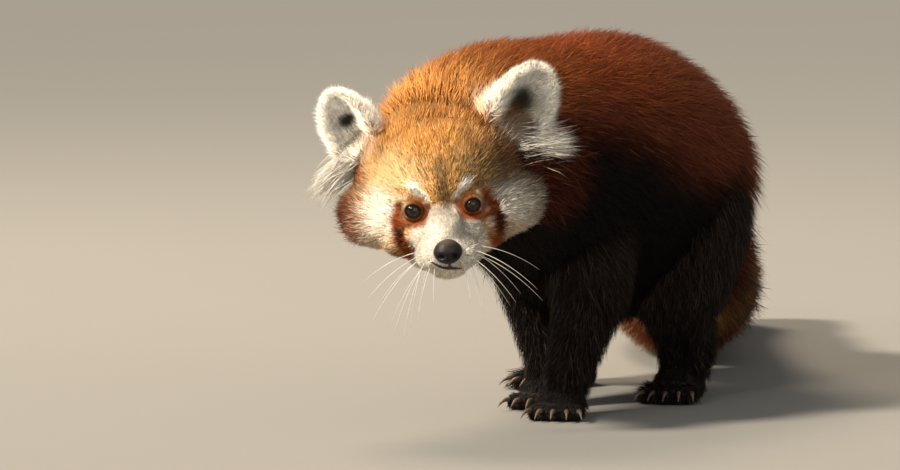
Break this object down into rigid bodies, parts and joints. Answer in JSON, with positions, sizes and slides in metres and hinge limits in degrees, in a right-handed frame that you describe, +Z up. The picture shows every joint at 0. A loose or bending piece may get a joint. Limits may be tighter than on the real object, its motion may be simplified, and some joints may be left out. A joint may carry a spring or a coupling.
{
  "type": "red panda",
  "caption": "life-size still red panda standing low with arched back and lowered head turned to its left, ringed tail laid behind",
  "frame": {"origin": "middle of the floor under the box of the whole animal, on the floor", "axes": "+Z up, the animal walks along -Y with its tail behind along +Y, its left side is +X"},
  "size_m": [0.239, 0.808, 0.2385],
  "materials": {
    "coat_red": "long dense guard hair, chestnut red above and black-brown below",
    "coat_face": "short dense hair, golden forehead, white muzzle, brows and cheeks, red tear bands",
    "coat_ear": "cream white hair round a dark cup, with long white tufts at the base",
    "coat_dark": "black-brown hair grizzled with grey tips",
    "coat_ringed": "bushy hair in red and buff rings with a dark tip",
    "nose_skin": "bare wet skin, finely pebbled",
    "eye_ball": "wet and clear over a dark brown iris"
  },
  "bodies": {
    "root": {"neck": "coat_red", "torso": "coat_red", "head": "coat_face", "ear_left": "coat_ear", "ear_right": "coat_ear", "foreleg_left": "coat_dark", "foreleg_right": "coat_dark", "forepaw_left": "coat_dark", "forepaw_right": "coat_dark", "hindleg_left": "coat_dark", "hindleg_right": "coat_dark", "hindpaw_left": "coat_dark", "hindpaw_right": "coat_dark", "tail_base": "coat_ringed", "tail_middle": "coat_ringed", "tail_tip": "coat_ringed", "nose": "nose_skin", "eye_left": "eye_ball", "eye_right": "eye_ball"}
  },
  "joints": []
}
